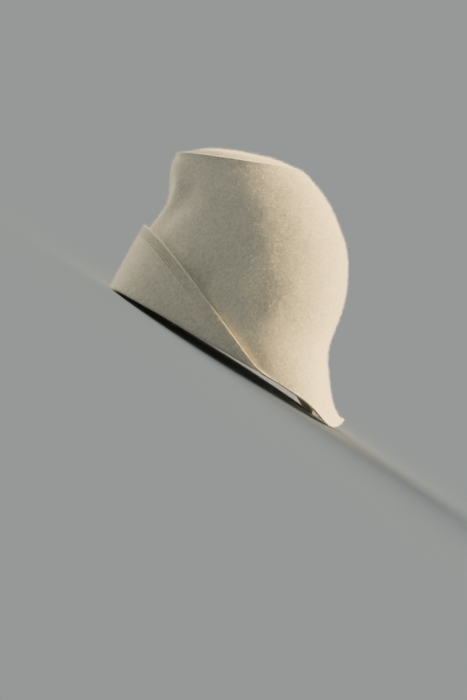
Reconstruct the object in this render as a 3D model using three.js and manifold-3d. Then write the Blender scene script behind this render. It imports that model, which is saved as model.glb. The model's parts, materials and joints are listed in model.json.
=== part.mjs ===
// Felt hat: one piece of thick wool felt, blocked over a form.
//
// The hat stands on its own edge, as it would on a table. The front faces -Y, the back +Y,
// the wearer's left is +X and +Z is up. Its edge is turned up at the front as a tall cuff
// that runs out along both sides. At the back the edge is slit, and the wearer's left panel
// of it flares out into a short tail. The crown leans forward and ends in a long oval tip
// with a crisp crease around a low dome.
//
// The felt is one sheet that never ends between these, so it is one solid: a grid of points
// on the middle of the sheet, thickened to both sides. Each column of the grid is one strip
// of felt, from the cuff's cut edge, down to the fold, and up the crown to its top.

import * as THREE from 'three';
import { mergeVertices } from 'three/addons/utils/BufferGeometryUtils.js';
import Module from 'manifold-3d';

// Driving dimensions, in millimetres.
const FELT_WALL = 2.2; // thickness of the felt
const BODY_LENGTH = 221; // brow to nape along the edge that the hat stands on
const BODY_WIDTH = 157; // widest place, ear to ear
const CROWN_HEIGHT = 176; // table to the crease at the crown's back
const DOME_RISE = 11; // how far the crown's top swells above its crease
const MOAT_DEPTH = 3; // narrow valley that runs round the dome, just inside the crease
const CUFF_HEIGHT = 66; // turned-up front, at the brow
const CUFF_REACH = 153; // how far back along the body the cuff runs out
const CUFF_GAP = 2; // air between the cuff and the crown, at the fold
const CUFF_SPREAD = 1.6; // how much further the cuff stands off at its cut edge
const EDGE_ARCH = 10.5; // how far the edge lifts off the table at the sides
const TAIL_FLARE = 40.5; // how far the back panel swings out
const TAIL_LIFT = 12; // how far its tip curls up
const FAR_FLARE = 8; // the plain panel beside it swings out this far
const SLIT_HEIGHT = 60; // cut at the back, from the edge up
const SLIT_OPENING = 1.6; // sideways gap of the cut, near its top
const NEAR_OVERLAP = 9; // the flared panel runs this far past the middle, at the edge
const FAR_OVERLAP = 6; // the plain panel runs this far under it
const DENT_DEPTH = 6.5; // hollow in the crown's side, just behind the cuff
const RIDGE_SWELL = 2.4; // ridges that frame the crown's front
const REST_PRESS = 0.7; // how far the felt is pressed flat by its own weight
const CREASE_SAG = 4; // how far the crease dips along the crown's sides
const CREASE_PINCH = 1.5; // how far the felt is pinched out along the crease
const CREASE_LIFT = 0.8; // and how far up
const CREASE_LIP = 3; // the pinch starts about this far below the crease
const CREASE_FADE = 0.25; // the pinch and the moat keep this share at the back
const WIDEST_BEHIND = 7; // the widest place lies this far behind the middle
const UNROLLED_EDGE = 1; // strip past the fold that stays where the cuff has run out
const UNROLL_HEIGHT = 6; // the cuff opens out flat where it is lower than this
const UNROLLED_FOLD = 0.4; // share of the fold's own strip that stays there
const LEAST_TURN = 0.001; // and share of the full turn

// The crown's middle line, a row for each level from the edge up to the crease. front and
// back are how far each lies behind the brow, as shares of BODY_LENGTH, frontUp and backUp
// their heights as shares of CROWN_HEIGHT, and width the share of BODY_WIDTH.
const LEVELS = [
  { front: 0.016, frontUp: 0.0, back: 0.975, backUp: 0.0, width: 0.98 },
  { front: 0.015, frontUp: 0.052, back: 0.962, backUp: 0.062, width: 0.995 },
  { front: 0.014, frontUp: 0.114, back: 0.948, backUp: 0.136, width: 1.0 },
  { front: 0.012, frontUp: 0.193, back: 0.932, backUp: 0.227, width: 0.995 },
  { front: 0.01, frontUp: 0.284, back: 0.916, backUp: 0.324, width: 0.985 },
  { front: 0.01, frontUp: 0.375, back: 0.897, backUp: 0.432, width: 0.965 },
  { front: 0.016, frontUp: 0.449, back: 0.878, backUp: 0.547, width: 0.925 },
  { front: 0.018, frontUp: 0.52, back: 0.841, backUp: 0.671, width: 0.865 },
  { front: 0.0, frontUp: 0.597, back: 0.773, backUp: 0.81, width: 0.775 },
  { front: -0.035, frontUp: 0.67, back: 0.673, backUp: 0.92, width: 0.665 },
  { front: -0.053, frontUp: 0.716, back: 0.556, backUp: 1.01, width: 0.555 },
  { front: -0.056, frontUp: 0.77, back: 0.432, backUp: 1.052, width: 0.47 },
];

// How the edge runs round the body, from the front (0 degrees) to the back (180). arch is
// the share of EDGE_ARCH, flare of TAIL_FLARE and curl of TAIL_LIFT.
const EDGE_RUN = [
  { degrees: 0, arch: 0.0, flare: 0.0, curl: 0.0 },
  { degrees: 14, arch: 0.04, flare: 0.0, curl: 0.0 },
  { degrees: 30, arch: 0.34, flare: 0.0, curl: 0.0 },
  { degrees: 60, arch: 0.68, flare: 0.0, curl: 0.0 },
  { degrees: 100, arch: 1.0, flare: 0.02, curl: 0.0 },
  { degrees: 125, arch: 1.0, flare: 0.1, curl: 0.0 },
  { degrees: 143, arch: 0.9, flare: 0.28, curl: 0.0 },
  { degrees: 153, arch: 0.5, flare: 0.48, curl: 0.0 },
  { degrees: 163, arch: -0.05, flare: 0.68, curl: 0.0 },
  { degrees: 170, arch: -0.05, flare: 0.84, curl: 0.08 },
  { degrees: 175, arch: 0.0, flare: 0.94, curl: 0.5 },
  { degrees: 180, arch: 0.0, flare: 1.0, curl: 1.0 },
];

// Hollows and swells on the crown's sides: the pocket behind the cuff, the valley that climbs
// out of it, and the swell behind them. behind and reachBehind are shares of BODY_LENGTH, up
// and reachUp of CROWN_HEIGHT, lean is the tilt of each patch in degrees, and depth is the
// share of DENT_DEPTH, inwards where it is positive.
const DENTS = [
  { behind: 0.315, up: 0.26, reachBehind: 0.045, reachUp: 0.075, lean: -20, depth: 1.0 },
  { behind: 0.352, up: 0.375, reachBehind: 0.042, reachUp: 0.13, lean: -22, depth: 0.5 },
  { behind: 0.43, up: 0.3, reachBehind: 0.06, reachUp: 0.11, lean: -20, depth: -0.35 },
];

// The ridge on each side of the crown's front, from the cuff up to the tip. up is the share of
// CROWN_HEIGHT, aside the share of BODY_WIDTH from the middle, and swell of RIDGE_SWELL.
const RIDGE = [
  { up: 0.34, aside: 0.16, swell: 0.0 },
  { up: 0.42, aside: 0.155, swell: 0.5 },
  { up: 0.5, aside: 0.15, swell: 0.85 },
  { up: 0.58, aside: 0.165, swell: 1.0 },
  { up: 0.66, aside: 0.17, swell: 1.0 },
  { up: 0.71, aside: 0.135, swell: 0.8 },
  { up: 0.76, aside: 0.07, swell: 0.0 },
];
const RIDGE_REACH = 0.04; // half width of a ridge, as a share of BODY_WIDTH
const HOLLOW_BESIDE = 2; // the hollow beside a ridge lies this many half widths off it
const HOLLOW_DEPTH = 0.7; // and is this share of the ridge's swell deep
const RIDGE_END = 0.25; // ridge and hollow fade out this far behind the brow,
const RIDGE_FADE = 0.12; // from here on, both as shares of BODY_LENGTH

// How finely the sheet is divided.
const COLUMNS = 80;
const FRONT_CROWDING = 0.2; // the columns stand closer at the front by this share
const CUFF_ROWS = 4;
const FOLD_ROWS = 4;
const CROWN_ROWS = 20;
const CROWN_CROWDING = 1.15; // over 1, the crown's rows stand closer near the edge
const DOME_ROWS = 5;
const MOAT_INSET = 0.06; // the moat lies this share of the dome's radius inside the crease
const FOLD_LENGTH = (Math.PI * (FELT_WALL + CUFF_GAP)) / 2;
const FELT_COLOUR = 0xe9dfc8;

const frontLine = new THREE.SplineCurve(
  LEVELS.map((level) => new THREE.Vector2(level.front * BODY_LENGTH, level.frontUp * CROWN_HEIGHT)),
);
const backLine = new THREE.SplineCurve(
  LEVELS.map((level) => new THREE.Vector2(level.back * BODY_LENGTH, level.backUp * CROWN_HEIGHT)),
);
const widthLine = new THREE.SplineCurve(
  LEVELS.map((level, row) => new THREE.Vector2((level.width * BODY_WIDTH) / 2, row)),
);

// A smooth value between the rows of EDGE_RUN, the same on both sides of the body.
const EDGE_SOFTENING = 4;
const edgeLines = {};
for (const column of ['arch', 'flare', 'curl']) {
  const places = EDGE_RUN.map((row) => row.degrees);
  const values = EDGE_RUN.map((row) => row[column]);
  edgeLines[column] = new THREE.LinearInterpolant(places, values, 1);
}

function edgeShare(column, angle) {
  const degrees = Math.abs(THREE.MathUtils.radToDeg(angle));
  const at = (place) => edgeLines[column].evaluate(THREE.MathUtils.clamp(place, 0, 180))[0];
  return at(degrees) / 2 + (at(degrees - EDGE_SOFTENING) + at(degrees + EDGE_SOFTENING)) / 4;
}

// The level at which the pinch of the crease starts.
const PINCH_START = 1 - CREASE_LIP / CROWN_HEIGHT;

// How crisp the crease is at an angle: fully at the front, softer towards the back.
function crispness(angle) {
  return THREE.MathUtils.lerp(CREASE_FADE, 1, (1 + Math.cos(angle)) / 2);
}

// The blocked body without its flare: level runs from 0 at the edge to 1 at the crease, and
// angle from -PI (back, far side) through 0 (brow) to PI (back, near side).
function bodyPoint(level, angle) {
  const front = frontLine.getPoint(level);
  const back = backLine.getPoint(level);
  const halfWidth = widthLine.getPoint(level).x;
  const along = (1 - Math.cos(angle)) / 2;
  const aside = Math.sin(angle);
  const egg = WIDEST_BEHIND * (1 - level) * aside * aside;
  const sag = CREASE_SAG * level * level * aside * aside;
  const pinch = crispness(angle) * THREE.MathUtils.smoothstep(level, PINCH_START, 1);
  const point = new THREE.Vector3(
    halfWidth * aside,
    THREE.MathUtils.lerp(front.x, back.x, along) + egg,
    THREE.MathUtils.lerp(front.y, back.y, along) - sag + CREASE_LIFT * pinch,
  );
  return point.addScaledVector(outward(angle), CREASE_PINCH * pinch);
}

// The way out of the body, level with the table.
function outward(angle) {
  return new THREE.Vector3(Math.sin(angle) / BODY_WIDTH, -Math.cos(angle) / BODY_LENGTH, 0).normalize();
}

// The level up to which the slit and the flare reach, found in small steps.
const LEVEL_STEP = 0.005;
const SLIT_TOP_LEVEL = (() => {
  let level = 0;
  while (backLine.getPoint(level).y < SLIT_HEIGHT) {
    level += LEVEL_STEP;
  }
  return level;
})();

// The flare starts softly over this share of the slit, and the panels only lap over each
// other below the next one, where they already stand apart.
const FLARE_START = 0.08;
const LAP_START = 0.2;
const SLIT_REACH = THREE.MathUtils.degToRad(151); // the panels' edges move from here on
const CURL_TIGHTNESS = 5; // the higher, the closer to the tip the tail curls

// The ridge's place and swell at any height.
const ridgeLines = {};
for (const column of ['aside', 'swell']) {
  const places = RIDGE.map((row) => row.up);
  const values = RIDGE.map((row) => row[column]);
  ridgeLines[column] = new THREE.LinearInterpolant(places, values, 1);
}

// How far the crown is pushed out by its dents and front ridges.
function relief(point) {
  let push = 0;
  for (const dent of DENTS) {
    const lean = THREE.MathUtils.degToRad(dent.lean);
    const along = point.y - dent.behind * BODY_LENGTH;
    const up = point.z - dent.up * CROWN_HEIGHT;
    const across = (along * Math.cos(lean) + up * Math.sin(lean)) / (dent.reachBehind * BODY_LENGTH);
    const lengthwise = (up * Math.cos(lean) - along * Math.sin(lean)) / (dent.reachUp * CROWN_HEIGHT);
    push -= dent.depth * DENT_DEPTH * Math.exp(-across * across - lengthwise * lengthwise);
  }
  const up = THREE.MathUtils.clamp(point.z / CROWN_HEIGHT, RIDGE[0].up, RIDGE.at(-1).up);
  const off = (Math.abs(point.x) / BODY_WIDTH - ridgeLines.aside.evaluate(up)[0]) / RIDGE_REACH;
  const swell = RIDGE_SWELL * ridgeLines.swell.evaluate(up)[0];
  const fade = THREE.MathUtils.smoothstep(
    -point.y / BODY_LENGTH,
    -RIDGE_END,
    -RIDGE_FADE,
  );
  const hollow = HOLLOW_DEPTH * Math.exp(-((off - HOLLOW_BESIDE) ** 2));
  return push + swell * fade * (Math.exp(-off * off) - hollow);
}

// The middle of the felt, with its arch, flare and tail. side is -1 on the far panel and 1 on
// the near one, and push is how far it is moved out by the relief.
function feltPoint(level, angle, side, push = relief(bodyPoint(level, angle))) {
  const point = bodyPoint(level, angle);
  const fall = THREE.MathUtils.clamp(1 - level / SLIT_TOP_LEVEL, 0, 1);
  const swing = (fall * fall * (1 + FLARE_START)) / (fall + FLARE_START);
  const flare = side > 0 ? TAIL_FLARE : FAR_FLARE;
  const curl = side > 0 ? TAIL_LIFT * edgeShare('curl', angle) * fall ** CURL_TIGHTNESS : 0;
  point.addScaledVector(outward(angle), flare * edgeShare('flare', angle) * swing + push);
  point.z += EDGE_ARCH * edgeShare('arch', angle) * fall + curl + FELT_WALL / 2 - REST_PRESS;
  const atSlit = THREE.MathUtils.smoothstep(Math.abs(angle), SLIT_REACH, Math.PI);
  const opening = (SLIT_OPENING * Math.min(1, fall / FLARE_START)) / 2;
  const overlap = side > 0 ? NEAR_OVERLAP : FAR_OVERLAP;
  point.x += side * atSlit * (opening - overlap * THREE.MathUtils.smoothstep(fall, LAP_START, 1));
  return point;
}

// The dome above the crease, from 1 at the crease to 0 at the crown's middle. It is fuller
// towards the front, and a narrow valley parts it from the crease.
const DOME_FULLNESS = 2.8;

function domePoint(share, angle) {
  const rim = feltPoint(1, angle, 1);
  const middle = feltPoint(1, 0, 1).add(feltPoint(1, Math.PI, 1)).multiplyScalar(0.5);
  const point = middle.clone().lerp(rim, share);
  const inside = (1 - share) / MOAT_INSET;
  const moat = MOAT_DEPTH * crispness(angle) * inside * Math.exp(1 - inside);
  point.z += DOME_RISE * (1 - share ** (DOME_FULLNESS + Math.cos(angle))) - moat;
  return point;
}

// A ruler for one strip: it gives the level that lies a given length of felt above the edge.
const RULER_MARKS = 80;

function rulerAt(angle) {
  const levels = [0];
  const lengths = [0];
  for (let mark = 1; mark <= RULER_MARKS; mark += 1) {
    const here = bodyPoint(mark / RULER_MARKS, angle);
    const last = bodyPoint((mark - 1) / RULER_MARKS, angle);
    levels.push(mark / RULER_MARKS);
    lengths.push(lengths[mark - 1] + here.distanceTo(last));
  }
  const ruler = new THREE.LinearInterpolant(lengths, levels, 1);
  return (length) => ruler.evaluate(Math.max(length, 0))[0];
}

// The height of the cuff at each column, which falls away towards the back, slowly at first.
const CUFF_BOW = 1.6; // 1 would be straight, and the higher, the more the cut edge bows up
const CUFF_FADE = 5; // the end of the run-out is drawn out softly, the more so the higher this is

function cuffHeight(angle) {
  const behind = Math.max(bodyPoint(0, angle).y / CUFF_REACH, 0);
  const height = CUFF_HEIGHT * (1 - behind ** CUFF_BOW);
  return (height + Math.hypot(height, CUFF_FADE)) / 2;
}

// One strip of felt, from the cuff's cut edge to the crown's top. out is how far a point
// stands off the crown, and up how far it lies above the fold.
function strip(angle, side) {
  const height = cuffHeight(angle);
  const levelAt = rulerAt(angle);
  const turned = THREE.MathUtils.smoothstep(height, 0, UNROLL_HEIGHT);
  const turn = Math.PI * Math.max(turned, LEAST_TURN);
  const radius = (FOLD_LENGTH * THREE.MathUtils.lerp(UNROLLED_FOLD, 1, turned)) / turn;
  const leg = Math.max(height - radius, UNROLLED_EDGE);
  const legDrop = Math.max(0, Math.cos(turn)) * leg;
  const foldUp = radius * Math.sin(Math.min(turn, Math.PI / 2)) + legDrop;
  const place = (out, up) =>
    feltPoint(levelAt(up), angle, side, 0).addScaledVector(outward(angle), out);

  const points = [];
  for (let row = CUFF_ROWS; row > 0; row -= 1) {
    const far = (leg * row) / CUFF_ROWS;
    const out = radius * (1 - Math.cos(turn)) + far * Math.sin(turn);
    const spread = (CUFF_SPREAD * turned * far) / CUFF_HEIGHT;
    points.push(place(out + spread, foldUp - radius * Math.sin(turn) - far * Math.cos(turn)));
  }
  for (let row = FOLD_ROWS; row > 0; row -= 1) {
    const bend = (turn * row) / FOLD_ROWS;
    points.push(place(radius * (1 - Math.cos(bend)), foldUp - radius * Math.sin(bend)));
  }
  const start = levelAt(foldUp);
  for (let row = 0; row <= CROWN_ROWS; row += 1) {
    if (row === CROWN_ROWS) {
      points.push(feltPoint(PINCH_START, angle, side));
    }
    const level = start + (1 - start) * (row / CROWN_ROWS) ** CROWN_CROWDING;
    points.push(feltPoint(level, angle, side));
  }
  points.push(domePoint(1 - MOAT_INSET, angle));
  for (let row = DOME_ROWS - 1; row > 0; row -= 1) {
    points.push(domePoint(row / DOME_ROWS, angle));
  }
  return points;
}

// The grid of the whole sheet. Above the slit its first and last columns are one.
function sheetGrid() {
  const grid = [];
  for (let column = 0; column <= COLUMNS; column += 1) {
    const turn = (2 * column) / COLUMNS - 1;
    const angle = Math.PI * turn - FRONT_CROWDING * Math.sin(Math.PI * turn);
    grid.push(strip(angle, angle < 0 ? -1 : 1));
  }
  return grid;
}

// The sheet given its thickness, as one closed solid.
const SAME_PLACE = 1e-6; // points closer than this are one

function feltGeometry() {
  const grid = sheetGrid();
  const rows = grid[0].length;
  const joined = (row) => grid[0][row].distanceTo(grid[COLUMNS][row]) < SAME_PLACE;
  const slitRow = [...Array(rows).keys()].find(joined);
  const owner = (column, row) => (row >= slitRow ? column % COLUMNS : column);
  const number = (column, row) => owner(column, row) * rows + row;
  const pole = (COLUMNS + 1) * rows;

  const wayOut = (column, row) => {
    const wraps = row >= slitRow;
    const before = wraps ? (column + COLUMNS - 1) % COLUMNS : Math.max(column - 1, 0);
    const after = wraps ? (column + 1) % COLUMNS : Math.min(column + 1, COLUMNS);
    const round = grid[after][row].clone().sub(grid[before][row]);
    const above = grid[column][Math.min(row + 1, rows - 1)];
    const below = grid[column][Math.max(row - 1, 0)];
    return round.cross(above.clone().sub(below)).normalize();
  };

  const skin = (side) => {
    const points = [];
    for (let column = 0; column <= COLUMNS; column += 1) {
      for (let row = 0; row < rows; row += 1) {
        const reach = (side * FELT_WALL) / 2;
        points.push(grid[column][row].clone().addScaledVector(wayOut(owner(column, row), row), reach));
      }
    }
    const top = domePoint(0, 0);
    top.z += (side * FELT_WALL) / 2;
    points.push(top);
    return points;
  };

  const outer = skin(1);
  const inner = skin(-1);
  const lift = outer.length;
  const faces = [];
  const triangle = (a, b, c) => {
    faces.push(a, b, c);
  };
  const quad = (a, b, c, d) => {
    triangle(a, b, c);
    triangle(a, c, d);
  };
  for (let column = 0; column < COLUMNS; column += 1) {
    for (let row = 0; row < rows - 1; row += 1) {
      const corners = [
        number(column, row),
        number(column + 1, row),
        number(column + 1, row + 1),
        number(column, row + 1),
      ];
      quad(...corners);
      quad(...corners.map((corner) => corner + lift).reverse());
    }
    const low = number(column, rows - 1);
    const next = number(column + 1, rows - 1);
    triangle(low, next, pole);
    triangle(next + lift, low + lift, pole + lift);
    const edge = number(column, 0);
    const nextEdge = number(column + 1, 0);
    quad(nextEdge, edge, edge + lift, nextEdge + lift);
  }
  for (let row = 0; row < slitRow; row += 1) {
    const far = number(0, row);
    const farUp = number(0, row + 1);
    quad(far, farUp, farUp + lift, far + lift);
    const near = number(COLUMNS, row);
    const nearUp = number(COLUMNS, row + 1);
    quad(nearUp, near, near + lift, nearUp + lift);
  }
  return closedGeometry([...outer, ...inner], faces);
}

// A closed geometry from points and faces, with the points that no face uses left out.
function closedGeometry(points, faces) {
  const places = new Map();
  const kept = [];
  const index = faces.map((corner) => {
    if (!places.has(corner)) {
      places.set(corner, places.size);
      kept.push(points[corner].x, points[corner].y, points[corner].z);
    }
    return places.get(corner);
  });
  const geometry = new THREE.BufferGeometry();
  geometry.setAttribute('position', new THREE.Float32BufferAttribute(kept, 3));
  geometry.setIndex(index);
  return geometry;
}

const wasm = await Module();
wasm.setup();

function toSolid(geometry) {
  const mesh = new wasm.Mesh({
    numProp: 3,
    vertProperties: new Float32Array(geometry.attributes.position.array),
    triVerts: new Uint32Array(geometry.index.array),
  });
  return new wasm.Manifold(mesh);
}

function toGeometry(solid) {
  const mesh = solid.getMesh();
  const geometry = new THREE.BufferGeometry();
  geometry.setAttribute('position', new THREE.Float32BufferAttribute(Array.from(mesh.vertProperties), 3));
  geometry.setIndex(Array.from(mesh.triVerts));
  return geometry;
}

// The slab of table top that presses the felt flat where it stands.
function tableSolid() {
  const depth = 10 * FELT_WALL;
  const reach = 3 * (BODY_LENGTH + BODY_WIDTH + TAIL_FLARE);
  const slab = new THREE.BoxGeometry(reach, reach, depth).translate(0, 0, -depth / 2);
  slab.deleteAttribute('normal');
  slab.deleteAttribute('uv');
  return toSolid(mergeVertices(slab));
}

// The hat, moved so that the middle of its box stands on the origin.
function hatMesh() {
  const geometry = toGeometry(toSolid(feltGeometry()).subtract(tableSolid()));
  geometry.computeBoundingBox();
  const middle = geometry.boundingBox.getCenter(new THREE.Vector3());
  geometry.translate(-middle.x, -middle.y, -geometry.boundingBox.min.z);
  geometry.computeVertexNormals();
  const felt = new THREE.MeshStandardMaterial({ color: FELT_COLOUR, roughness: 0.95, metalness: 0 });
  const mesh = new THREE.Mesh(geometry, felt);
  mesh.name = 'felt_hat';
  return mesh;
}

const hat = new THREE.Group();
hat.add(hatMesh());

export default hat;
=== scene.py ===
# %% [markdown]
# # A felt hat
# A hat of this kind is blocked from one piece of thick wool felt. The felt is steamed, pulled
# over a wooden form and dried there, so it keeps its shape by itself. The front edge is turned
# up as a tall cuff, and the back edge is slit and swings out as a short tail.
# This lesson starts from the measured shell of the hat and gives it what felt has: a soft
# surface, a cut edge, rows of stitching and a nap of loose fibres.

import json
import math

import bmesh
import bpy
import numpy as np
from mathutils import Matrix, Vector, noise
from mathutils.bvhtree import BVHTree

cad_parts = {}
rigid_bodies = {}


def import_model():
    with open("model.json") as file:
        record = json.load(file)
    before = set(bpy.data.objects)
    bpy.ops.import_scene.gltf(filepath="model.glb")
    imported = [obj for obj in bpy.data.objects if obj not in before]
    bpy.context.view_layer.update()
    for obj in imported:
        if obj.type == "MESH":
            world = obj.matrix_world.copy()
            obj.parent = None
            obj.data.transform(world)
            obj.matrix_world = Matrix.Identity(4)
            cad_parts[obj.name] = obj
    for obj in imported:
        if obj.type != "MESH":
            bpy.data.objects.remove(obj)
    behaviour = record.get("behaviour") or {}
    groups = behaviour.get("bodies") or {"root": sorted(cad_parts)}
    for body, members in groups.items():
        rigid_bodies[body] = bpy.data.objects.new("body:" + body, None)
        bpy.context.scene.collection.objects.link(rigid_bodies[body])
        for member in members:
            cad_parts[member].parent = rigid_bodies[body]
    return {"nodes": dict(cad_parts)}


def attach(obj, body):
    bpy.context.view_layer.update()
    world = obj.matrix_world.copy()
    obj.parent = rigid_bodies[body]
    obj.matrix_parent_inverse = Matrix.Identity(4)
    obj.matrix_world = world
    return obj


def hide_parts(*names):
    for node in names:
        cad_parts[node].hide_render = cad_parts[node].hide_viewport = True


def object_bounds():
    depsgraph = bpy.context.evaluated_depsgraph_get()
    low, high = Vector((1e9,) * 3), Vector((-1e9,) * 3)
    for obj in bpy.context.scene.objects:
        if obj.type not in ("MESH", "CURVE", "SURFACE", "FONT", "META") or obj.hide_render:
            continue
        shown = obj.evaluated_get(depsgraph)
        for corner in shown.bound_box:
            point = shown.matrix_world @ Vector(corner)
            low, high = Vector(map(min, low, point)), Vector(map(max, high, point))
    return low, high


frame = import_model()
shell_low, shell_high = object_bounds()
MM = 0.001
print("shell, mm:", [round(side / MM, 1) for side in shell_high - shell_low])

# %% [markdown]
# ## The camera
# The hat was seen from the wearer's left, from about two thirds of a metre away and a little
# above the hat's middle, and it was tipped back by about a third of a right angle. The hat
# stands level here, so the camera is tipped instead. That shows the same side at the same
# angle, and keeps the camera above the floor.

# %% Camera
FRAME_WIDTH, FRAME_HEIGHT = 467, 700
SENSOR_WIDTH = 36
FOCAL_PIXELS = 680.0
DISTANCE = 646 * MM  # from the camera to the hat's middle plane
NEAREST = 20 * MM  # nothing closer to the camera than this is drawn
TIP = math.radians(32.3)  # how far the camera is tipped to one side
LOOK_DOWN = 34  # how far the camera looks down along its own frame, in pixels
PITCH = math.atan(LOOK_DOWN / FOCAL_PIXELS)
BROW_PIXEL = (117, 291)
BROW_BEHIND = 20.3 * MM  # the brow's fold lies this far behind the foremost point


def add_camera():
    """Places the camera so that the brow's fold falls on its own pixel."""
    data = bpy.data.cameras.new("side_camera")
    data.sensor_width = SENSOR_WIDTH
    data.lens = data.sensor_width * FOCAL_PIXELS / FRAME_HEIGHT
    data.clip_start = NEAREST
    right = Vector((0, math.cos(TIP), math.sin(TIP)))
    level_up = Vector((0, -math.sin(TIP), math.cos(TIP)))
    ahead = Vector((-math.cos(PITCH), 0, 0)) - level_up * math.sin(PITCH)
    up = right.cross(ahead)
    across = (BROW_PIXEL[0] - FRAME_WIDTH / 2) / FOCAL_PIXELS
    rise = (FRAME_HEIGHT / 2 - BROW_PIXEL[1]) / FOCAL_PIXELS
    ray = ahead + right * across + up * rise
    brow = Vector((0, shell_low.y + BROW_BEHIND, 0))
    camera = bpy.data.objects.new("side_camera", data)
    camera.matrix_world = Matrix((right, up, -ahead)).transposed().to_4x4()
    camera.location = brow + ray * (DISTANCE / ray.x)
    bpy.context.scene.collection.objects.link(camera)
    bpy.context.scene.camera = camera
    return camera


camera = add_camera()
print("camera above the floor, mm:", round(camera.location.z / MM, 1))

# %% [markdown]
# ## The felt body
# The shell's mesh is a cage: it holds the true outline and wall, in flat facets. It could be
# smoothed by shading alone, but then the outline would stay angular. Here a copy of it is
# merged, its triangles are joined into quads, and a subdivision surface rounds it. The cut
# edge of real felt is crisp but not sharp, so its corners are creased and not left hard.

# %% Felt body
SUBDIVISIONS = 2
MERGE_WITHIN = 0.002 * MM
QUAD_BEND = math.radians(40)  # two triangles that meet at more than this stay apart
QUAD_SKEW = math.radians(50)  # and so do two that would make a quad more skewed than this
CORNER_ANGLE = math.radians(48)  # edges that bend more than this are creased
CORNER_CREASE = 0.62


def add_piece(name, data):
    """Puts a mesh, or a lamp's data, into the scene as an object."""
    piece = bpy.data.objects.new(name, data)
    bpy.context.scene.collection.objects.link(piece)
    return piece


def merged_copy(node, name):
    """A copy of a shell node as one closed mesh of quads."""
    mesh = node.data.copy()
    mesh.name = name
    body = bmesh.new()
    body.from_mesh(mesh)
    bmesh.ops.remove_doubles(body, verts=body.verts, dist=MERGE_WITHIN)
    bmesh.ops.join_triangles(
        body,
        faces=body.faces,
        angle_face_threshold=QUAD_BEND,
        angle_shape_threshold=QUAD_SKEW,
    )
    crease = body.edges.layers.float.new("crease_edge")
    for edge in body.edges:
        if edge.calc_face_angle(0) > CORNER_ANGLE:
            edge[crease] = CORNER_CREASE
    body.to_mesh(mesh)
    body.free()
    mesh.materials.clear()
    return add_piece(name, mesh)


def add_modifier(piece, kind, **settings):
    """Adds a modifier with its settings."""
    modifier = piece.modifiers.new(kind.lower(), kind)
    for setting, value in settings.items():
        setattr(modifier, setting, value)
    return modifier


def apply_modifiers(piece):
    """Bakes a piece's modifiers into its mesh."""
    graph = bpy.context.evaluated_depsgraph_get()
    finished = bpy.data.meshes.new_from_object(piece.evaluated_get(graph))
    piece.modifiers.clear()
    piece.data = finished


felt = merged_copy(frame["nodes"]["felt_hat"], "felt_body")
add_modifier(
    felt, "SUBSURF", levels=SUBDIVISIONS, render_levels=SUBDIVISIONS, boundary_smooth="ALL"
)
apply_modifiers(felt)
print("felt body:", len(felt.data.polygons), "faces")

# %% [markdown]
# ## Hand-blocked unevenness
# Blocked felt is never as even as a drawn surface. Steam and fingers leave shallow waves a
# few centimetres long. They could be bump in the material, but the outline would stay
# perfect, so the vertices themselves are moved in or out from the hat's middle, by less than
# a millimetre. Both faces of the wall move together, because the waves depend only on place.

# %% Waves in the felt
WAVES = [(34 * MM, 0.55 * MM), (13 * MM, 0.22 * MM)]  # the length and depth of each kind
CALM_BELOW = 6 * MM  # the waves fade out from here down to the floor


def wave_height(place):
    """How far the felt is pushed out at a place."""
    return sum(depth * noise.noise(place / length) for length, depth in WAVES)


def uneven(piece):
    """Moves the vertices of the felt by its waves, and leaves those that it stands on."""
    mesh = bmesh.new()
    mesh.from_mesh(piece.data)
    middle = (shell_low + shell_high) / 2
    for vertex in mesh.verts:
        away = (vertex.co - middle).normalized()
        lift = min(1.0, max(0.0, vertex.co.z / CALM_BELOW))
        vertex.co += away * wave_height(vertex.co) * lift
        vertex.co.z = max(vertex.co.z, 0)
    mesh.to_mesh(piece.data)
    mesh.free()


uneven(felt)
felt.data.shade_smooth()
print("highest felt after the waves, mm:", round(max(v.co.z for v in felt.data.vertices) / MM, 1))

# %% [markdown]
# ## Finding the cuff's cut edge
# The rows of stitches run beside the cuff's cut edge, so its line has to be known. It could be
# picked out of the mesh by hand, but that breaks when the shell changes. Instead rays are
# shot at the hat from outside, lower and lower: where the felt jumps outwards by the cuff's
# stand-off, that is the cut edge.

# %% Cut edge of the cuff
AXIS_BEHIND = 126 * MM  # the rays aim at an upright axis, this far behind the foremost point
AXIS = Vector((0, shell_low.y + AXIS_BEHIND, 0))
CUFF_STEP_OUT = 1.6 * MM  # a jump outwards of more than this is the cut edge
EDGE_TOP = 80 * MM  # the search starts at this height
EDGE_BOTTOM = 16 * MM  # and gives up at this one
LEVEL_STEP = 0.5 * MM
EDGE_SWEEP = math.radians(116)  # the search goes this far round from the brow, to each side
EDGE_POINTS = 120
EDGE_SMOOTHING = 7  # the heights are averaged over this many points


def ray_tree(piece):
    """The piece's faces, ready for rays."""
    mesh = bmesh.new()
    mesh.from_mesh(piece.data)
    tree = BVHTree.FromBMesh(mesh)
    mesh.free()
    return tree


def outermost(turn, height):
    """The place and normal of the outer felt, as a ray from a metre outside meets it."""
    away = Vector((math.sin(turn), -math.cos(turn), 0))
    place, normal, _, _ = felt_faces.ray_cast(AXIS + Vector((0, 0, height)) + away, -away)
    return place, normal


def cut_edge_height(turn):
    """The height of the cut edge at a turn, or None where there is no cuff."""
    height = EDGE_TOP
    last = outermost(turn, height)[0]
    while height > EDGE_BOTTOM:
        height -= LEVEL_STEP
        place = outermost(turn, height)[0]
        if (place - AXIS).xy.length - (last - AXIS).xy.length > CUFF_STEP_OUT:
            return height
        last = place
    return None


def smoothed(values):
    """A running mean that keeps the slope at both ends."""
    padded = np.pad(values, EDGE_SMOOTHING // 2, mode="reflect", reflect_type="odd")
    return np.convolve(padded, np.ones(EDGE_SMOOTHING) / EDGE_SMOOTHING, mode="valid")


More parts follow.
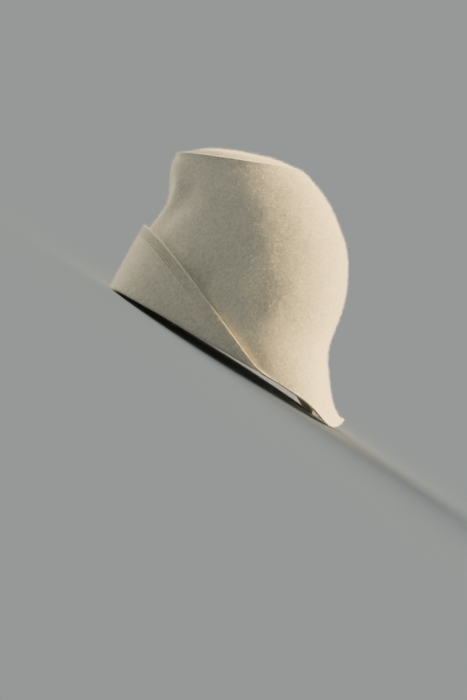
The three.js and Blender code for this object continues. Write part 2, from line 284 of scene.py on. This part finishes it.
felt_faces = ray_tree(felt)
turns = [EDGE_SWEEP * (2 * index / EDGE_POINTS - 1) for index in range(EDGE_POINTS + 1)]
found = [(turn, cut_edge_height(turn)) for turn in turns]
cut_turns = np.array([turn for turn, height in found if height is not None])
cut_heights = smoothed(np.array([height for _, height in found if height is not None]))
cut_line = [outermost(turn, height)[0] for turn, height in zip(cut_turns, cut_heights)]
cut_runs = [(after - before).normalized() for before, after in zip(cut_line, cut_line[2:])]
cut_runs = [cut_runs[0], *cut_runs, cut_runs[-1]]
cut_levelness = np.array([run.xy.length for run in cut_runs])
print("cut edge, mm:", [round(height / MM) for height in cut_heights[::12]])

# %% [markdown]
# ## Joined copies
# Stitches and fibres come in their hundreds and thousands. Each could be an object, but a
# scene with that many is slow. So one small shape is modelled with mesh operators, and all
# its copies become one mesh, placed by a list of matrices.

# %% Joined copies
def joined_copies(name, shape, placements):
    """One piece made of many copies of a small bmesh shape."""
    corners = np.array([(*vertex.co, 1.0) for vertex in shape.verts])
    places = np.einsum("cij,vj->cvi", np.array(placements), corners)[..., :3]
    shape.verts.index_update()
    faces = [[vertex.index for vertex in face.verts] for face in shape.faces]
    all_faces = [
        [corner + copy * len(corners) for corner in face]
        for copy in range(len(placements))
        for face in faces
    ]
    data = bpy.data.meshes.new(name)
    data.from_pydata(places.reshape(-1, 3).tolist(), [], all_faces)
    data.shade_smooth()
    shape.free()
    return add_piece(name, data)


# %% [markdown]
# ## Rows of stitches
# Close rows of small stitches hold the cut edge flat. Each stitch could be a bent tube of
# thread, but at two millimetres long it shows as a small grain, half sunk in the felt. So each
# is one stretched ball with few faces, laid along its row and sunk into the felt.

# %% Stitch rows
ROW_OFFSETS = [2.6 * MM, 4.7 * MM, 6.8 * MM, 8.9 * MM]  # below the cut edge, evenly spaced
ROW_PITCH = ROW_OFFSETS[1] - ROW_OFFSETS[0]
STITCH_PITCH = 2.6 * MM
STITCH_LENGTH = 2.0 * MM
THREAD_WIDTH = 0.5 * MM
THREAD_SUNK = 0.1 * MM
LOWEST_STITCH = 8 * MM  # the rows end at this height


def row_points(offset):
    """Places and normals along one row, a fixed way below the cut edge."""
    heights = cut_heights - offset / cut_levelness
    return [
        outermost(turn, height) for turn, height in zip(cut_turns, heights) if height > LOWEST_STITCH
    ]


def evenly_along(points, pitch):
    """Evenly spaced places along a row, each with its normal and direction."""
    spaced = []
    left = 0.0
    for (start, normal), (end, _) in zip(points, points[1:]):
        stretch = (end - start).length
        while left < stretch:
            spaced.append((start.lerp(end, left / stretch), normal, (end - start) / stretch))
            left += pitch
        left -= stretch
    return spaced


def stitch_shape():
    """One stitch: a ball with few faces, stretched along X."""
    shape = bmesh.new()
    bmesh.ops.create_uvsphere(shape, u_segments=6, v_segments=5, radius=THREAD_WIDTH / 2)
    bmesh.ops.scale(shape, verts=shape.verts, vec=(STITCH_LENGTH / THREAD_WIDTH, 1, 1))
    return shape


def stitch_placements():
    """Where every stitch lies: along its row, with its back to the felt."""
    placements = []
    for offset in ROW_OFFSETS:
        for place, normal, run in evenly_along(row_points(offset), STITCH_PITCH):
            side = normal.cross(run).normalized()
            lie = Matrix((run, side, run.cross(side))).transposed().to_4x4()
            placements.append(Matrix.Translation(place - normal * THREAD_SUNK) @ lie)
    return placements


stitches = joined_copies("cuff_stitches", stitch_shape(), stitch_placements())
print("stitches:", len(stitches.data.polygons), "faces")

# %% [markdown]
# ## Where the grooves run
# Each row of stitches pulls the felt down into a shallow groove, so soft ribs stand between
# the rows. They are a few tenths of a millimetre, finer than the mesh. So the felt only
# carries two attributes: how far each place lies below the line of the cut edge, and how much
# of the grooves it shows. Its material turns them into low relief, with painted shade in the
# grooves and a painted highlight along the cut edge. The rows soften where the cuff gets low,
# and the crown and the lining side of the cuff have none.

# %% Distance from the cut edge
GROOVES_FULL = 57 * MM  # where the cut edge is this high or higher, the grooves are deepest
GROOVES_FAINT = 40 * MM  # and they are faintest where it is this high or lower
FAINTEST = 0.25
BESIDE_EDGE = 12 * MM  # the grooves keep within this distance of the cut edge
SAME_SKIN = 0.6 * MM  # a vertex this close to where a ray lands is on the outer skin
RUN_ON = 0.4  # past both ends the line of the cut edge runs on by this turn, in radians


def line_at(turns, values):
    """Values along the cut edge at any turns, run on in a straight line past both ends."""
    fall = RUN_ON * (values[1] - values[0]) / (cut_turns[1] - cut_turns[0])
    places = [cut_turns[0] - RUN_ON, *cut_turns, cut_turns[-1] + RUN_ON]
    return np.interp(turns, places, [values[0] - fall, *values, values[-1] - fall])


def on_outer_skin(place, turn):
    """True where a vertex lies on the outside of the hat."""
    skin = outermost(turn, place.z)[0]
    return skin is not None and (skin - place).length < SAME_SKIN


def store(piece, name, values):
    """Stores one number for each vertex as an attribute."""
    layer = piece.data.attributes.new(name, "FLOAT", "POINT")
    layer.data.foreach_set("value", np.asarray(values, dtype=np.float32))


places = np.empty(len(felt.data.vertices) * 3, dtype=np.float32)
felt.data.vertices.foreach_get("co", places)
places = places.reshape(-1, 3) - np.array(AXIS)
vertex_turns = np.arctan2(places[:, 0], -places[:, 1])
edge_heights = line_at(vertex_turns, cut_heights)
below_edge = (edge_heights - places[:, 2]) * np.interp(vertex_turns, cut_turns, cut_levelness)
groove_share = np.clip((edge_heights - GROOVES_FAINT) / (GROOVES_FULL - GROOVES_FAINT), FAINTEST, 1)
groove_share[np.abs(below_edge) > BESIDE_EDGE] = 0
for number in np.flatnonzero(groove_share):
    if not on_outer_skin(felt.data.vertices[number].co, vertex_turns[number]):
        groove_share[number] = 0
store(felt, "below_cut_edge", below_edge)
store(felt, "groove_share", groove_share)
print("vertices with grooves:", np.count_nonzero(groove_share))

# %% [markdown]
# ## The nap
# Loose fibres stand up from wool felt, and against the light they blur its outline. They
# could be a hair system, but hair doesn't travel well with a model. Here one thin spike is
# copied over the outer skin, each with its own length, turn and lean. Real fibres are about
# 0.03 mm thick, which would not show, so these are drawn five times that.

# %% One fibre
FIBRE_LENGTH = (0.8 * MM, 2.8 * MM)
FIBRE_WIDTH = 0.15 * MM
SAME_TIP = FIBRE_WIDTH / 20  # the corners at a fibre's tip are this close, and become one


def fibre_shape():
    """One thin spike that stands on the origin along Z, a millimetre tall."""
    shape = bmesh.new()
    bmesh.ops.create_cone(
        shape, cap_ends=False, segments=3, radius1=FIBRE_WIDTH / 2, radius2=0, depth=MM
    )
    bmesh.ops.translate(shape, verts=shape.verts, vec=(0, 0, MM / 2))
    bmesh.ops.remove_doubles(shape, verts=shape.verts, dist=SAME_TIP)
    return shape


print("fibre lengths, mm:", [round(length / MM, 1) for length in FIBRE_LENGTH])

# %% [markdown]
# ## Where fibres stand
# The nap covers the outside of the hat, and not its lining side or the gap behind the cuff.
# The fibres could be set by hand on chosen faces, but there are tens of thousands. So their
# places are picked by arrays, evenly by area, and rays only check for open air. A fibre whose
# tip would be in the floor is left out.

# %% Fibres
FIBRES = 60000
FIBRE_SPARE = 2.4  # this many times as many places are drawn, because the covered ones drop out
FIBRE_LEAN = 1.1  # a fibre's tip lies up to this share of its height to one side
FIBRE_SEED = 11
LOWEST_ROOT = 1 * MM
CLEAR_START = 1 * MM  # a fibre needs clear air in front of it, from here
CLEAR_AIR = 25 * MM  # and for this far


def skin_samples(count, chance):
    """Random places on the felt with their normals, spread evenly by area."""
    mesh = felt.data
    mesh.calc_loop_triangles()
    corners = np.array([triangle.vertices for triangle in mesh.loop_triangles])
    points = np.array([vertex.co for vertex in mesh.vertices])[corners]
    across = np.cross(points[:, 1] - points[:, 0], points[:, 2] - points[:, 0])
    doubled = np.linalg.norm(across, axis=1)
    picked = chance.choice(len(doubled), size=count, p=doubled / doubled.sum())
    shares = chance.dirichlet((1, 1, 1), size=count)
    places = np.einsum("sc,sci->si", shares, points[picked])
    return places, across[picked] / doubled[picked, None]


def in_open_air(places, normals):
    """Which samples lie on the outer skin, with nothing in front of them."""
    clear = []
    for place, normal in zip(places, normals):
        start = Vector(place + normal * CLEAR_START)
        in_the_way = felt_faces.ray_cast(start, Vector(normal), CLEAR_AIR)[0]
        clear.append(place[2] > LOWEST_ROOT and in_the_way is None)
    return np.array(clear)


def fibre_placements():
    """Where every fibre stands, how long it is and how far it leans."""
    chance = np.random.default_rng(FIBRE_SEED)
    places, normals = skin_samples(int(FIBRES * FIBRE_SPARE), chance)
    clear = np.flatnonzero(in_open_air(places, normals))[:FIBRES]
    places, normals = places[clear], normals[clear]
    leans = chance.normal(size=places.shape)
    leans -= normals * np.sum(leans * normals, axis=1, keepdims=True)
    leans /= np.linalg.norm(leans, axis=1, keepdims=True)
    lengths = chance.uniform(*FIBRE_LENGTH, size=(len(places), 1)) / MM
    placements = np.zeros((len(places), 4, 4))
    placements[:, :3, 0] = leans
    placements[:, :3, 1] = np.cross(normals, leans)
    placements[:, :3, 2] = (normals + leans * FIBRE_LEAN * chance.random((len(places), 1))) * lengths
    placements[:, :3, 3] = places
    placements[:, 3, 3] = 1
    above_floor = places[:, 2] + placements[:, 2, 2] * MM > 0
    return placements[above_floor]


fibres = joined_copies("felt_nap", fibre_shape(), fibre_placements())
print("nap:", len(fibres.data.polygons), "faces")

# %% [markdown]
# ## A helper for materials
# Colours are written as sRGB hex values, as a colour picker shows them, and one function
# turns them to the linear values that shaders use. A second one adds a node with its
# settings and links.

# %% Material helpers
def linear(code):
    """An sRGB hex colour as linear red, green, blue and alpha."""
    channels = [int(code[place : place + 2], 16) / 255 for place in (1, 3, 5)]
    bent = [c / 12.92 if c <= 0.04045 else ((c + 0.055) / 1.055) ** 2.4 for c in channels]
    return (*bent, 1.0)


def add_node(material, kind, settings=(), inputs=(), links=()):
    """Adds a node. links is a list of (its input, the other node, the other's output)."""
    tree = material.node_tree
    node = tree.nodes.new(kind)
    for setting, value in dict(settings).items():
        setattr(node, setting, value)
    for socket, value in dict(inputs).items():
        node.inputs[socket].default_value = value
    for socket, other, output in links:
        tree.links.new(other.outputs[output], node.inputs[socket])
    return node


def new_material(name):
    """An empty node material."""
    material = bpy.data.materials.new(name)
    material.use_nodes = True
    material.node_tree.nodes.clear()
    return material


print("mid grey is linear", round(linear("#808080")[0], 3))

# %% [markdown]
# ## Grooves and cut edge in the felt's material
# Along the rows of stitches the felt dips, and the cut edge gets a painted highlight, as if
# light caught it. A texture map could hold both, but the two attributes already say where
# they are. A cosine of the distance gives even grooves, and the share fades them out.

# %% Grooves and cut edge
# the painted highlight along the cuff's cut edge: how wide and how strong it is
EDGE_HIGHLIGHT_WIDTH = 1.2 * MM
EDGE_HIGHLIGHT_SHARE = 0.8
MATHS = "ShaderNodeMath"
MULTIPLY = {"operation": "MULTIPLY"}
MULTIPLY_ADD = {"operation": "MULTIPLY_ADD"}


def add_groove_depth(material):
    """How deep in a groove each place is, from 0 on the ribs to 1 under the stitches."""
    distance = add_node(material, "ShaderNodeAttribute", {"attribute_name": "below_cut_edge"})
    share = add_node(material, "ShaderNodeAttribute", {"attribute_name": "groove_share"})
    first, last = ROW_OFFSETS[0], ROW_OFFSETS[-1]
    to_turns = {1: math.tau / ROW_PITCH, 2: -math.tau * first / ROW_PITCH}
    in_turns = add_node(material, MATHS, MULTIPLY_ADD, to_turns, [(0, distance, "Fac")])
    wave = add_node(material, MATHS, {"operation": "COSINE"}, links=[(0, in_turns, "Value")])
    depth = add_node(material, MATHS, MULTIPLY_ADD, {1: 0.5, 2: 0.5}, [(0, wave, "Value")])
    reach = {1: (first + last) / 2, 2: (last - first + ROW_PITCH) / 2}
    beside_rows = add_node(
        material, MATHS, {"operation": "COMPARE"}, reach, [(0, distance, "Fac")]
    )
    on_rows = [(0, depth, "Value"), (1, beside_rows, "Value")]
    rows = add_node(material, MATHS, MULTIPLY, links=on_rows)
    return add_node(material, MATHS, MULTIPLY, links=[(0, rows, "Value"), (1, share, "Fac")])


def add_cut_edge_highlight(material):
    """How strongly each place on the cuff gets the painted highlight at its cut edge."""
    distance = add_node(material, "ShaderNodeAttribute", {"attribute_name": "below_cut_edge"})
    share = add_node(material, "ShaderNodeAttribute", {"attribute_name": "groove_share"})
    away = add_node(material, MATHS, {"operation": "ABSOLUTE"}, links=[(0, distance, "Fac")])
    near = add_node(
        material,
        "ShaderNodeMapRange",
        inputs={"From Min": 0.0, "From Max": EDGE_HIGHLIGHT_WIDTH, "To Min": EDGE_HIGHLIGHT_SHARE, "To Max": 0.0},
        links=[("Value", away, "Value")],
    )
    return add_node(material, MATHS, MULTIPLY, links=[(0, near, "Result"), (1, share, "Fac")])


print("from groove to groove, mm:", round(ROW_PITCH / MM, 1))

# %% [markdown]
# ## The felt's cream
# Undyed wool is cream, a little lighter and darker where fibres lie thinner and thicker. One
# noise would look like a cloud, so three of different sizes move the tone together. The
# grooves get painted shade, darker as if shadowed, and the cut edge gets a painted
# highlight, paler as if catching light.

# %% Cream
CLUMP_TONE, TONE_SHIFT = 0.7, -0.05  # how much each noise moves the tone
MOTTLE_TONE = 0.2
TUFT_TONE = 0.16
CREAM_SHADE = "#CEC6B1"
CREAM = "#E2DAC4"
CREAM_LIGHT = "#F0E9D7"
SHADE_AT, CREAM_AT, LIGHT_AT = 0.3, 0.47, 0.66  # the tones at which these colours lie
# painted shade: the grooves are darkened towards this colour, as if shadowed
GROOVE_SHADOW_COLOUR = "#8C836C"
PAINTED_SHADE_SHARE = 0.5
# painted highlight: the cut edge is lightened towards this colour, as if catching light
PAINTED_EDGE_HIGHLIGHT = "#FFFCF2"


def add_cream(material, clumps, mottle, tufts):
    """Cream that the three noises make lighter and darker together."""
    shift = {1: CLUMP_TONE, 2: TONE_SHIFT}
    clumped = add_node(material, MATHS, MULTIPLY_ADD, shift, [(0, clumps, "Fac")])
    add_up = [(0, mottle, "Fac"), (2, clumped, "Value")]
    mottled = add_node(material, MATHS, MULTIPLY_ADD, {1: MOTTLE_TONE}, add_up)
    add_up = [(0, tufts, "Fac"), (2, mottled, "Value")]
    tone = add_node(material, MATHS, MULTIPLY_ADD, {1: TUFT_TONE}, add_up)
    cream = add_node(material, "ShaderNodeValToRGB", links=[("Fac", tone, "Value")])
    ramp = cream.color_ramp
    ramp.elements[0].position, ramp.elements[0].color = SHADE_AT, linear(CREAM_SHADE)
    ramp.elements[1].position, ramp.elements[1].color = LIGHT_AT, linear(CREAM_LIGHT)
    ramp.elements.new(CREAM_AT).color = linear(CREAM)
    return cream


def add_felt_colour(material, cream, depth):
    """The cream, with painted shade in the grooves and a painted highlight at the cut edge."""
    # painted shade in the grooves, deepest under the stitches
    shade = add_node(material, MATHS, MULTIPLY, {1: PAINTED_SHADE_SHARE}, [(0, depth, "Value")])
    shaded = add_node(
        material,
        "ShaderNodeMix",
        {"data_type": "RGBA"},
        {"B": linear(GROOVE_SHADOW_COLOUR)},
        [("Factor", shade, "Value"), ("A", cream, "Color")],
    )
    # painted highlight along the cut edge
    edge = add_cut_edge_highlight(material)
    return add_node(
        material,
        "ShaderNodeMix",
        {"data_type": "RGBA"},
        {"B": linear(PAINTED_EDGE_HIGHLIGHT)},
        [("Factor", edge, "Value"), ("A", shaded, "Result")],
    )


print("cream, linear:", [round(channel, 2) for channel in linear(CREAM)[:3]])

# %% [markdown]
# ## The felt's low relief
# Clumps, tufts and grooves also catch the light. They could be modelled, but they are too low
# to change the outline, so they are bump, one on top of the other, each less than half a
# millimetre deep.

# %% Relief
CLUMP_DEPTH = 0.35 * MM
TUFT_DEPTH = 0.12 * MM
RELIEF_STRENGTH = 0.4
GROOVE_DEPTH = 0.45 * MM


def add_felt_relief(material, clumps, tufts, depth):
    """Low relief: clumps, tufts and grooves, one on top of the other."""
    lumps = add_node(
        material,
        "ShaderNodeBump",
        inputs={"Strength": RELIEF_STRENGTH, "Distance": CLUMP_DEPTH},
        links=[("Height", clumps, "Fac")],
    )
    tufted = add_node(
        material,
        "ShaderNodeBump",
        inputs={"Strength": RELIEF_STRENGTH, "Distance": TUFT_DEPTH},
        links=[("Height", tufts, "Fac"), ("Normal", lumps, "Normal")],
    )
    return add_node(
        material,
        "ShaderNodeBump",
        settings={"invert": True},
        inputs={"Strength": 1.0, "Distance": GROOVE_DEPTH},
        links=[("Height", depth, "Value"), ("Normal", tufted, "Normal")],
    )


print("groove depth, mm:", round(GROOVE_DEPTH / MM, 2))

# %% [markdown]
# ## Wool felt
# Felt is wool fibre matted by heat and rubbing, with no weave. To the eye it is matt and a
# little deep, and the nap catches the light at the rim. A velvet shader could give that, but
# it is lost when the model is exported, and sheen on a rough surface isn't. The felt shows
# fine crimped tufts about a tenth of a millimetre wide. They are too fine to show in a whole
# view, so they are drawn about four times as coarse.

# %% Felt material
TUFT_PITCH = 0.45 * MM
TUFTS_PER_SPOT = 3  # the ridged noise has about this many ridges to each of its spots
CLUMP_PITCH = 2.4 * MM
MOTTLE_PITCH = 9 * MM
SHEEN_TINT = "#FFF6E4"


def felt_material(name):
    """Matted wool: mottled cream, crimped tufts and a soft nap."""
    material = new_material(name)
    place = add_node(material, "ShaderNodeTexCoord")
    clumps = add_node(
        material,
        "ShaderNodeTexNoise",
        inputs={"Scale": 1 / CLUMP_PITCH, "Detail": 3.0, "Roughness": 0.6, "Distortion": 0.6},
        links=[("Vector", place, "Object")],
    )
    mottle = add_node(
        material,
        "ShaderNodeTexNoise",
        inputs={"Scale": 1 / MOTTLE_PITCH, "Detail": 4.0, "Roughness": 0.55},
        links=[("Vector", place, "Object")],
    )
    tufts = add_node(
        material,
        "ShaderNodeTexNoise",
        settings={"noise_type": "RIDGED_MULTIFRACTAL"},
        inputs={"Scale": 1 / (TUFTS_PER_SPOT * TUFT_PITCH), "Detail": 3.0, "Distortion": 1.6},
        links=[("Vector", place, "Object")],
    )
    depth = add_groove_depth(material)
    colour = add_felt_colour(material, add_cream(material, clumps, mottle, tufts), depth)
    relief = add_felt_relief(material, clumps, tufts, depth)
    shader = add_node(
        material,
        "ShaderNodeBsdfPrincipled",
        inputs={
            "Roughness": 0.95,
            "Specular IOR Level": 0.2,
            "Sheen Weight": 0.7,
            "Sheen Roughness": 0.5,
            "Sheen Tint": linear(SHEEN_TINT),
        },
        links=[("Base Color", colour, "Result"), ("Normal", relief, "Normal")],
    )
    add_node(material, "ShaderNodeOutputMaterial", links=[("Surface", shader, "BSDF")])
    return material


felt.data.materials.append(felt_material("wool_felt_matted"))
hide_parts("felt_hat")
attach(felt, "root")
print("felt:", len(felt.active_material.node_tree.nodes), "nodes")

# %% [markdown]
# ## Loose fibres
# A single wool fibre is thin enough for light to pass through, so the nap glows where the lamp
# stands behind it. A glossy hair shader could do this, but it is lost on export. Light that
# scatters inside the fibre gives the same soft rim.

# %% Fibre material
FIBRE_PALE = "#FFFAEE"
FIBRE_CREAM = "#EFE5CE"
CREAM_SPOTS, PALE_SPOTS = 0.35, 0.65  # the noise's values at which these colours lie
LIGHT_REACH = 0.6 * MM


def fibre_material(name):
    """Pale translucent wool, a little different from fibre to fibre."""
    material = new_material(name)
    place = add_node(material, "ShaderNodeTexCoord")
    change = add_node(
        material,
        "ShaderNodeTexNoise",
        inputs={"Scale": 1 / CLUMP_PITCH, "Detail": 1.0},
        links=[("Vector", place, "Object")],
    )
    colour = add_node(material, "ShaderNodeValToRGB", links=[("Fac", change, "Fac")])
    colour.color_ramp.elements[0].position = CREAM_SPOTS
    colour.color_ramp.elements[0].color = linear(FIBRE_CREAM)
    colour.color_ramp.elements[1].position = PALE_SPOTS
    colour.color_ramp.elements[1].color = linear(FIBRE_PALE)
    shader = add_node(
        material,
        "ShaderNodeBsdfPrincipled",
        inputs={
            "Roughness": 0.9,
            "Specular IOR Level": 0.2,
            "Subsurface Weight": 0.9,
            "Subsurface Radius": (1.0, 1.0, 1.0),
            "Subsurface Scale": LIGHT_REACH,
            "Sheen Weight": 0.8,
        },
        links=[("Base Color", colour, "Color")],
    )
    add_node(material, "ShaderNodeOutputMaterial", links=[("Surface", shader, "BSDF")])
    return material


fibres.data.materials.append(fibre_material("wool_fibre_loose"))
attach(fibres, "root")
print("loose fibres:", len(fibres.active_material.node_tree.nodes), "nodes")

# %% [markdown]
# ## Sewing thread
# The rows are sewn with a fine spun thread, a little darker than the felt and less fuzzy, so
# it shines slightly along its twist. The twist is about a millimetre long, and stripes across
# the stitches give it: a bump, with painted shade that darkens its low parts.

# %% Thread material
THREAD = "#D9C8A6"
THREAD_SHADE = "#C4B08B"
TWIST_SCALE = 318.31  # puts the stripes about a millimetre apart
TWIST_DEPTH = 0.08 * MM


def thread_material(name):
    """Spun thread: slightly glossy, with its twist."""
    material = new_material(name)
    place = add_node(material, "ShaderNodeTexCoord")
    twist = add_node(
        material,
        "ShaderNodeTexWave",
        settings={"bands_direction": "DIAGONAL"},
        inputs={"Scale": TWIST_SCALE, "Distortion": 1.0},
        links=[("Vector", place, "Object")],
    )
    # painted shade: the low parts of the twist are darker, as if shadowed
    colour = add_node(material, "ShaderNodeValToRGB", links=[("Fac", twist, "Fac")])
    colour.color_ramp.elements[0].color = linear(THREAD_SHADE)
    colour.color_ramp.elements[1].color = linear(THREAD)
    ridges = add_node(
        material,
        "ShaderNodeBump",
        inputs={"Strength": 0.5, "Distance": TWIST_DEPTH},
        links=[("Height", twist, "Fac")],
    )
    shader = add_node(
        material,
        "ShaderNodeBsdfPrincipled",
        inputs={"Roughness": 0.6, "Sheen Weight": 0.2},
        links=[("Base Color", colour, "Color"), ("Normal", ridges, "Normal")],
    )
    add_node(material, "ShaderNodeOutputMaterial", links=[("Surface", shader, "BSDF")])
    return material


stitches.data.materials.append(thread_material("sewing_thread_spun"))
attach(stitches, "root")
print("thread:", len(stitches.active_material.node_tree.nodes), "nodes")

# %% [markdown]
# ## The light
# A warm lamp stands far behind the hat and well above it, so the back of the crown glows and
# the side is left in soft shade. A weaker one with a much wider disc stands low in front, on
# the far side. It picks out the front of the crown, and even light comes from all round.
# Lamps close by would fade across the floor, so both are sun lamps. Like a lamp with flags
# round it, the warm one shines on the hat alone, because its long streak of shadow would only
# disturb the picture.

# %% Light
AIR_COLOUR = "#D4DAD7"
AIR_STRENGTH = 0.5
WARM_KEY = {
    "name": "warm_key",
    "colour": "#FFDC98",
    "strength": 19,
    "disc": 12,  # how wide the lamp looks from the hat, in degrees
    "place": (-0.2, 0.7, 0.68),  # which way it stands, seen from the hat
}
FRONT_FILL = {
    "name": "front_fill",
    "colour": "#FFEDCC",
    "strength": 3.2,
    "disc": 40,
    "place": (-0.5, -0.8, 0.3),
}


def add_sun(name, colour, strength, disc, place):
    """A sun lamp with a wide disc, which shines from a place towards the hat."""
    data = bpy.data.lights.new(name, "SUN")
    data.energy = strength
    data.angle = math.radians(disc)
    data.color = linear(colour)[:3]
    lamp = add_piece(name, data)
    lamp.location = Vector(place).normalized()
    lamp.rotation_euler = (-lamp.location).to_track_quat("-Z", "Y").to_euler()
    print(name, "above the floor, degrees:", round(math.degrees(math.asin(lamp.location.z))))
    return lamp


def add_air():
    """Even light from all round."""
    world = bpy.data.worlds.new("studio_air")
    world.use_nodes = True
    background = world.node_tree.nodes["Background"]
    background.inputs["Color"].default_value = linear(AIR_COLOUR)
    background.inputs["Strength"].default_value = AIR_STRENGTH
    bpy.context.scene.world = world


warm_key = add_sun(**WARM_KEY)
add_sun(**FRONT_FILL)
on_hat = bpy.data.collections.new("lit_by_warm_key")
for piece in (felt, fibres, stitches):
    on_hat.objects.link(piece)
warm_key.light_linking.receiver_collection = on_hat
add_air()

# %% [markdown]
# ## The floor
# A pale floor without a horizon is usually a curved sweep of paper. The camera is only a few
# centimetres above the floor here, so a sweep would show as a band. Instead the floor is very
# large and its colour is worked out, so that when it is lit it is just as bright as the air.

# %% Floor
FLOOR_SIDE = 60.0  # metres


def floor_colour():
    """The colour that makes the floor as bright as the air, lit by the air and the fill."""
    steepness = Vector(FRONT_FILL["place"]).normalized().z
    air = np.array(linear(AIR_COLOUR)[:3]) * AIR_STRENGTH
    fill = np.array(linear(FRONT_FILL["colour"])[:3]) * FRONT_FILL["strength"]
    return (*(air / (air + fill * steepness / math.pi)), 1.0)


def add_floor():
    """A large, matt, pale floor."""
    mesh = bmesh.new()
    bmesh.ops.create_grid(mesh, x_segments=8, y_segments=8, size=FLOOR_SIDE / 2)
    data = bpy.data.meshes.new("studio_floor")
    mesh.to_mesh(data)
    mesh.free()
    floor = add_piece("studio_floor", data)
    paper = new_material("paper_matt")
    shader = add_node(
        paper,
        "ShaderNodeBsdfPrincipled",
        inputs={"Base Color": floor_colour(), "Roughness": 1.0, "Specular IOR Level": 0.0},
    )
    add_node(paper, "ShaderNodeOutputMaterial", links=[("Surface", shader, "BSDF")])
    data.materials.append(paper)


add_floor()
print("floor colour, linear:", [round(channel, 2) for channel in floor_colour()])
